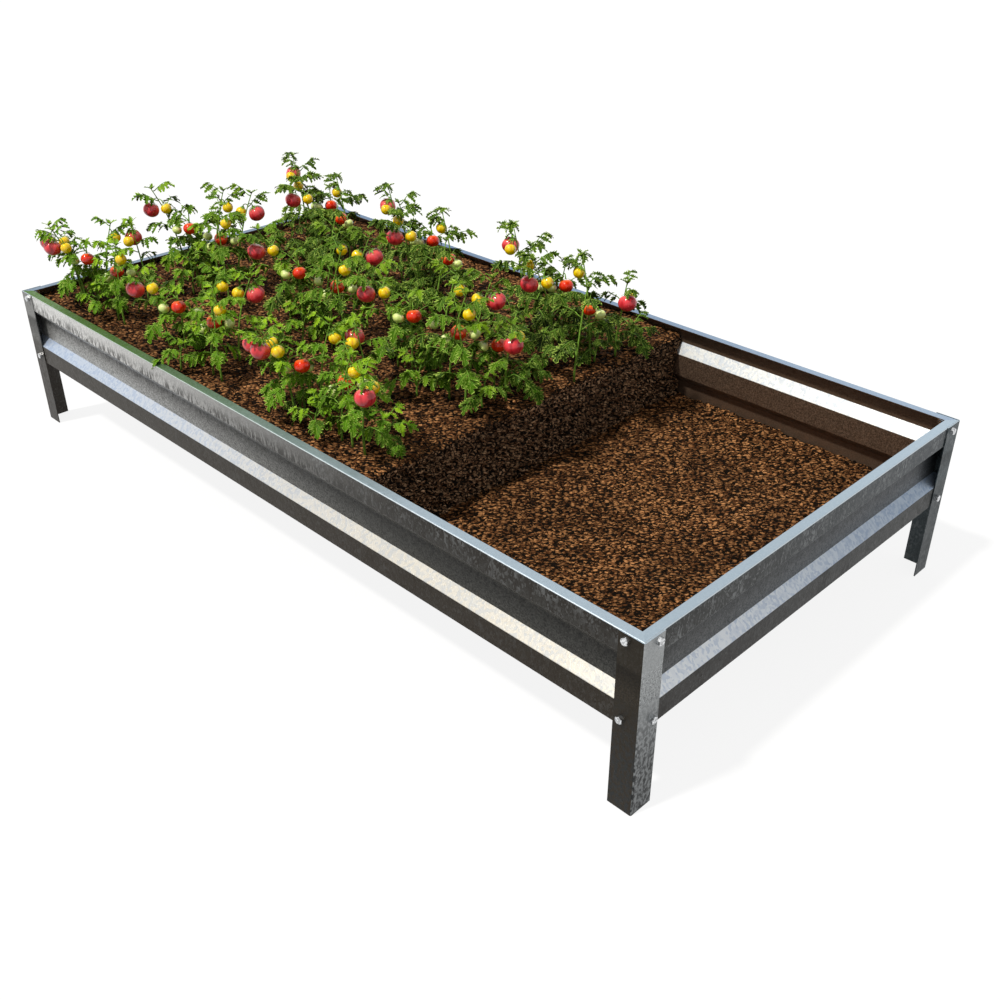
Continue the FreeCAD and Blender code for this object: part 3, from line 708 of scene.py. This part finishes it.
# ---- soil ------------------------------------------------------------------------------------------
GRAIN = 0.004              # spacing of the soil's grid
CHIPS = 26000              # to the square metre
CHIP_LENGTH, CHIP_WIDTH = (0.0055, 0.0105), (0.0028, 0.0048)     # half sizes
CHIP_HEIGHT = (0.0018, 0.0038)
CHIP_BASE = (-0.0055, -0.0005)       # where a chip lies, from the soil's mean surface
CHIP_TURN = (0.35, 0.8)              # mean and spread of the way chips lie
GAP_DEPTH = 0.006                    # floor of the gaps between chips
LIFT_SPAN = 0.008                    # height above that floor at which a grain counts as lit
PIECE_POINTS = 90000                 # grid points in one object at most
MARGIN = 0.0025                      # soil's surface stops this far from the panels
BLOCK_BACK, LAYER_BACK = 0.006, 0.004    # how far behind the step's face the blocks and the low soil meet it
FACE_SPARE, FACE_SINK = 0.01, 0.006      # the face's extra length, and how far it runs down into the low soil
EDGE_RUN, EDGE_DROP = 0.02, 0.004        # the high soil's edge, rounded off towards the step
CRUMBLE = 0.006                      # how far that edge wanders
CHIP_SEEDS = {"top": 5, "face": 6, "floor": 7}
FACE_RELIEF = 1.6                    # chips stand out of the step's face this much more than of the top
FACE_BULGE, FACE_WAVE = 0.005, 0.003     # at the foot of the face
SKIRT_DROP = 0.003                   # the soil's sides start this far under its surface
SKIRT_STEPS = 24                     # along each side


def chips(width, depth, seed):
    """A bed of loose bark over a grid of width by depth: both axes, heights, tones and lifts."""
    rng = np.random.default_rng(seed)
    nu, nv = int(round(width / GRAIN)) + 1, int(round(depth / GRAIN)) + 1
    u = np.linspace(0, width, nu)
    v = np.linspace(0, depth, nv)
    height = np.full((nu, nv), -GAP_DEPTH)
    tone = np.full((nu, nv), 0.1)
    for _ in range(int(width * depth * CHIPS)):
        cu, cv = rng.uniform(0, width), rng.uniform(0, depth)
        a, b, c = rng.uniform(*CHIP_LENGTH), rng.uniform(*CHIP_WIDTH), rng.uniform(*CHIP_HEIGHT)
        turn = rng.normal(*CHIP_TURN)
        tilt = rng.uniform(-0.25, 0.25)
        base = rng.uniform(*CHIP_BASE)
        i0, i1 = np.searchsorted(u, cu - a), np.searchsorted(u, cu + a)
        j0, j1 = np.searchsorted(v, cv - a), np.searchsorted(v, cv + a)
        if i0 >= i1 or j0 >= j1:
            continue
        du, dv = np.meshgrid(u[i0:i1] - cu, v[j0:j1] - cv, indexing="ij")
        p, q = du * cos(turn) + dv * sin(turn), -du * sin(turn) + dv * cos(turn)
        inside = 1 - (p / a) ** 2 - (q / b) ** 2
        lift = base + c * np.sqrt(np.clip(inside, 0, None)) + tilt * p
        window = height[i0:i1, j0:j1]
        wins = (inside > 0) & (lift > window)
        window[wins] = lift[wins]
        tone[i0:i1, j0:j1][wins] = rng.uniform(0, 1)
    lift = np.clip((height + GAP_DEPTH) / LIFT_SPAN, 0, 1)
    return u, v, height, tone, lift


def soil_patch(name, place, tone, lift, material, node):
    """A grid of places as objects of at most a set number of points."""
    nu, nv = place.shape[:2]
    columns = PIECE_POINTS // nv
    for k, start in enumerate(range(0, nu - 1, columns)):
        stop = min(start + columns, nu - 1)
        rows = stop - start + 1
        shape = Shape()
        index = np.arange(rows * nv).reshape(rows, nv)
        faces = np.stack([index[:-1, :-1], index[1:, :-1], index[1:, 1:], index[:-1, 1:]], -1).reshape(-1, 4)
        shape.add(place[start:stop + 1].reshape(-1, 3), [tuple(f) for f in faces.tolist()],
                  tone=tone[start:stop + 1].ravel(), lift=lift[start:stop + 1].ravel())
        piece = shape.build(name + "_" + str(k), (material,))
        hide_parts(node)
        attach(piece, "root")


def inset_at(z):
    """How far inside the panel's outer plane the soil stops at this height."""
    clear = SHEET * 1.4
    for (da, za), (db, zb) in zip(PANEL_LINE, PANEL_LINE[1:]):
        if za >= z >= zb:
            return da + (db - da) * (za - z) / (za - zb) + clear
    return clear


def swell(x, y):
    """How far the soil's surface stands above its mean level, as the solids have it."""
    return MM * sum(h * np.sin(2 * pi * (x / MM / u + y / MM / v + p)) for h, u, v, p in SWELLS)


def skirt(name, x0, x1, level, material, node):
    """The soil's sides down inside the corrugated panels, and its underside."""
    top = level - SKIRT_DROP
    heights = [top] + [z for _, z in PANEL_LINE if z < top]
    steps = SKIRT_STEPS
    shares = [k / steps for k in range(steps)]
    points = []
    for z in heights:
        gap = inset_at(z) + (MARGIN if z == top else 0.0)
        left, right = max(x0, -PANEL_X + gap), min(x1, PANEL_X - gap)
        front, back = -PANEL_Y + gap, PANEL_Y - gap
        ring = [(mix(left, right, share), front) for share in shares]
        ring += [(right, mix(front, back, share)) for share in shares]
        ring += [(mix(right, left, share), back) for share in shares]
        ring += [(left, mix(back, front, share)) for share in shares]
        points += [(x, y, z + (swell(x, y) if z == top else 0.0)) for x, y in ring]
    around = 4 * steps
    last = (len(heights) - 1) * around
    faces = []
    for start in range(0, last, around):
        for k in range(around):
            n = (k + 1) % around
            faces.append((start + k, start + around + k, start + around + n, start + n))
    for k in range(steps):
        far = 3 * steps - k
        faces.append((last + k, last + far, last + far - 1, last + k + 1))
    shape = Shape()
    shape.add(points, faces, tone=0.5, lift=0.8)
    piece = shape.build(name, (material,), smooth=False)
    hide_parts(node)
    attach(piece, "root")


def wander(y):
    """How far the step's upper edge stands out at this place across the bed."""
    return CRUMBLE * noise.noise((y * 14, 1.7, 0.0))


def half_span(half_width, z):
    """Half the width that the soil's surface has between the panels at this height."""
    return half_width - inset_at(z) - MARGIN


def high_soil(material):
    """The planted surface. Returns its edge above the step, as x and z at each place across the bed."""
    half = half_span(PANEL_Y, SOIL_HIGH)
    start = -half_span(PANEL_X, SOIL_HIGH)
    u, v, height, tone, lift = chips(STEP_X - start, 2 * half, CHIP_SEEDS["top"])
    x, y = np.meshgrid(u + start, v - half, indexing="ij")
    near_edge = 1 - np.clip((STEP_X - x) / EDGE_RUN, 0, 1)
    z = SOIL_HIGH + height + swell(x, y) - EDGE_DROP * near_edge ** 2
    x = x + np.vectorize(wander)(y) * near_edge
    soil_patch("soil_top", np.stack([x, y, z], -1), tone, lift, material, "soil_planted")
    return x[-1], z[-1]


def step_face(material, edge_x, edge_z):
    """The step's face, from that edge down into the low soil, a little fuller at its foot."""
    half = half_span(PANEL_Y, SOIL_HIGH)
    down, v, height, tone, lift = chips(SOIL_HIGH - SOIL_LOW + FACE_SPARE, 2 * half, CHIP_SEEDS["face"])
    place = np.zeros((len(down), len(v), 3))
    for i, share in enumerate(down / down[-1]):
        z = mix(edge_z, SOIL_LOW - FACE_SINK, share)
        narrow = min(half_span(PANEL_Y, float(z.mean())) / half, 1)
        x = STEP_X + height[i] * FACE_RELIEF * min(1, 6 * share) + (edge_x - STEP_X) * (1 - share)
        x += FACE_BULGE * share ** 2 + FACE_WAVE * np.sin(9 * v + 4 * share) * share
        place[i] = np.stack([x, (v - half) * narrow, z], -1)
    soil_patch("soil_face", place, tone, lift, material, "soil_planted")


def low_soil(material):
    """The thin layer's surface at the right end."""
    half, end = half_span(PANEL_Y, SOIL_LOW), half_span(PANEL_X, SOIL_LOW)
    start = STEP_X - LAYER_BACK
    u, v, height, tone, lift = chips(end - start, 2 * half, CHIP_SEEDS["floor"])
    x, y = np.meshgrid(u + start, v - half, indexing="ij")
    soil_patch("soil_floor", np.stack([x, y, SOIL_LOW + height + swell(x, y)], -1), tone, lift, material,
               "soil_low")


def soil():
    top = bark("bark_top", (15, 8, 3), (90, 56, 31), (178, 126, 80))
    # the step face and the soil's sides get a lighter copy of the bark, painted lighter to stand in for light
    # on those faces
    face = bark("bark_face_painted_lighter", (19, 13, 9), (118, 88, 64), (214, 174, 136))
    step_face(face, *high_soil(top))
    skirt("soil_block", -PANEL_X, STEP_X - BLOCK_BACK, SOIL_HIGH, face, "soil_planted")
    low_soil(top)
    skirt("soil_layer", STEP_X - BLOCK_BACK, PANEL_X, SOIL_LOW, face, "soil_low")


# ---- metal -----------------------------------------------------------------------------------------
FRONT_RUN, SIDE_RUN, LEG_RUN = (0, -0.98, 0.55), (1, -0.5, 0.5), (2, 0.0, 0.36)     # axis, start, end


def metal():
    """A zinc look for each panel and leg, its colours holding painted reflections and painted shade, and one
    for all fasteners, on the CAD's own solids.
    """
    # The colours below hold painted reflections and painted shade: each pair runs lighter at one end of its
    # panel or leg, and each face and flange has tones of its own. The rim pair turns green beside the plants
    # as a painted reflection of them, the slope pair is a painted sky reflection, the near leg's dark pair is
    # a painted dark reflection and the right leg's dark pair is painted shade.
    brown = (112, 92, 76), (112, 92, 76)
    dark = ((60, 56, 50), (46, 40, 32))
    painted_sky_reflection = ((186, 197, 212), (204, 199, 188))
    grey = ((150, 152, 152), (128, 130, 132))
    painted_rim_reflection = ((74, 112, 34), (162, 178, 190))
    painted_dark_reflection = ((48, 42, 34), (43, 38, 30))
    painted_leg_shade = ((58, 66, 68), (66, 76, 80))
    looks = {
        "long_panel_front": galvanised(
            "zinc_front", upper=((222, 222, 220), (47, 44, 40)), web=((156, 156, 154), (58, 58, 56)),
            lower=dark, slope=painted_sky_reflection, rim=painted_rim_reflection, along=FRONT_RUN, inside=(1, 1.0, *brown), specks=0.3,
            streaks=0.9),
        "long_panel_back": galvanised(
            "zinc_back", upper=grey, web=grey, lower=dark, slope=((196, 196, 192), (200, 200, 196)),
            rim=((96, 124, 156), (150, 170, 192)), inside=(1, -1.0, *brown)),
        "short_panel_right": galvanised(
            "zinc_right", upper=((44, 44, 42), (66, 72, 76)), web=((84, 85, 85), (82, 86, 90)),
            lower=((36, 33, 29), (44, 46, 46)), slope=((226, 230, 233), (160, 174, 190)),
            rim=((158, 174, 186), (168, 186, 200)), along=SIDE_RUN, inside=(0, -1.0, *brown), specks=0.5),
        "short_panel_left": galvanised(
            "zinc_left", upper=grey, web=grey, lower=dark, slope=painted_sky_reflection,
            rim=((120, 140, 160), (110, 130, 155)), along=SIDE_RUN, inside=(0, 1.0, *brown)),
        "corner_leg_front_right": galvanised(
            "zinc_near_leg", upper=painted_dark_reflection, web=painted_dark_reflection, lower=painted_dark_reflection, slope=painted_sky_reflection, rim=painted_rim_reflection, along=LEG_RUN,
            inside=(0, 1.0, (122, 125, 126), (168, 171, 172)), specks=0.05, hammered=1.0),
        "corner_leg_front_left": galvanised(
            "zinc_left_leg", upper=((70, 68, 64), (130, 130, 128)), web=((70, 68, 64), (96, 96, 94)),
            lower=((58, 54, 50), (74, 72, 68)), slope=painted_sky_reflection, rim=painted_rim_reflection, along=LEG_RUN),
        "corner_leg_back_right": galvanised(
            "zinc_right_leg", upper=painted_leg_shade, web=painted_leg_shade, lower=((54, 60, 62), (62, 70, 74)), slope=painted_sky_reflection,
            rim=painted_rim_reflection, along=LEG_RUN),
        "corner_leg_back_left": galvanised(
            "zinc_far_leg", upper=grey, web=grey, lower=grey, slope=painted_sky_reflection, rim=painted_rim_reflection, along=LEG_RUN),
    }
    bright = zinc_bright()
    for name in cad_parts:
        if name.startswith(("bolts_", "nuts_", "washers_")):
            looks[name] = bright
    for name, look in looks.items():
        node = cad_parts[name]
        node.data.materials.clear()
        node.data.materials.append(look)


# ---- stage -----------------------------------------------------------------------------------------
FLOOR_GLOW = 0.88                    # what camera and reflections see of the floor besides its lit surface
SKY_LIT, SKY_SEEN = 0.42, 1.0        # strength of the white world as a light, and as it is seen
SUN_AT, SUN_STRENGTH, SUN_COLOUR, SUN_ANGLE = (-0.6, -2.0, 3.5), 3.2, (1.0, 0.97, 0.92), 4.0

FOCAL_PX, PHOTO_PX, SENSOR = 1139.52, 1000, 36
CAMERA_AT, CAMERA_YAW, CAMERA_DOWN = (1.77356, -1.57756, 1.40911), 2.354, 0.551


def pale_floor():
    """A floor that keeps its shadow and runs out to the white of the backdrop."""
    m = Nodes("pale_floor")
    see = m.node("LightPath").outputs
    seen = m.math("MAXIMUM", see["Is Camera Ray"], m.math("MAXIMUM", see["Is Glossy Ray"],
                                                          see["Is Transmission Ray"]))
    glow = m.node("Emission", Color=(1, 1, 1, 1), Strength=m.math("MULTIPLY", seen, FLOOR_GLOW))
    tint = m.mix(m.noise(m.place(), 3.0), (0.12, 0.12, 0.12, 1), (0.13, 0.13, 0.13, 1))
    cloth = m.node("BsdfDiffuse", Color=tint)
    both = m.tree.nodes.new("ShaderNodeAddShader")
    m.link(glow.outputs[0], both.inputs[0])
    m.link(cloth.outputs[0], both.inputs[1])
    m.link(both.outputs[0], m.output.inputs["Surface"])
    mesh = bpy.data.meshes.new("floor")
    mesh.from_pydata([(-20, -20, 0), (20, -20, 0), (20, 20, 0), (-20, 20, 0)], [], [(0, 1, 2, 3)])
    mesh.materials.append(m.material)
    floor = bpy.data.objects.new("floor", mesh)
    bpy.context.scene.collection.objects.link(floor)


def sky():
    """A white world: soft light from all round, full white where it is looked at or mirrored."""
    world = bpy.data.worlds.new("studio")
    bpy.context.scene.world = world
    world.use_nodes = True
    tree = world.node_tree
    tree.nodes.clear()
    path = tree.nodes.new("ShaderNodeLightPath")
    seen = path.outputs["Is Camera Ray"]
    for key in ("Is Glossy Ray", "Is Transmission Ray"):
        joined = tree.nodes.new("ShaderNodeMath")
        joined.operation = "MAXIMUM"
        tree.links.new(seen, joined.inputs[0])
        tree.links.new(path.outputs[key], joined.inputs[1])
        seen = joined.outputs[0]
    level = tree.nodes.new("ShaderNodeMapRange")
    tree.links.new(seen, level.inputs["Value"])
    level.inputs["To Min"].default_value = SKY_LIT
    level.inputs["To Max"].default_value = SKY_SEEN
    white = tree.nodes.new("ShaderNodeBackground")
    white.inputs["Color"].default_value = (1, 1, 1, 1)
    tree.links.new(level.outputs[0], white.inputs["Strength"])
    tree.links.new(white.outputs[0], tree.nodes.new("ShaderNodeOutputWorld").inputs["Surface"])


def face_along(thing, direction):
    """Point a light or camera along a direction, its top up."""
    thing.rotation_euler = Vector(direction).to_track_quat("-Z", "Y").to_euler()
    bpy.context.scene.collection.objects.link(thing)


def sun():
    data = bpy.data.lights.new("key", "SUN")
    data.energy, data.color, data.angle = SUN_STRENGTH, SUN_COLOUR, radians(SUN_ANGLE)
    made = bpy.data.objects.new("key", data)
    made.location = SUN_AT
    face_along(made, -Vector(SUN_AT))


def camera():
    """The photo's own view, from a fit of its corners and bolts."""
    data = bpy.data.cameras.new("camera")
    data.lens, data.sensor_width = FOCAL_PX * SENSOR / PHOTO_PX, SENSOR
    data.clip_end = 100
    made = bpy.data.objects.new("camera", data)
    made.location = CAMERA_AT
    face_along(made, (cos(CAMERA_YAW) * cos(CAMERA_DOWN), sin(CAMERA_YAW) * cos(CAMERA_DOWN),
                      -sin(CAMERA_DOWN)))
    bpy.context.scene.camera = made


camera()
pale_floor()
sky()
sun()
metal()
soil()
garden()
bpy.context.scene.view_settings.view_transform = "Standard"
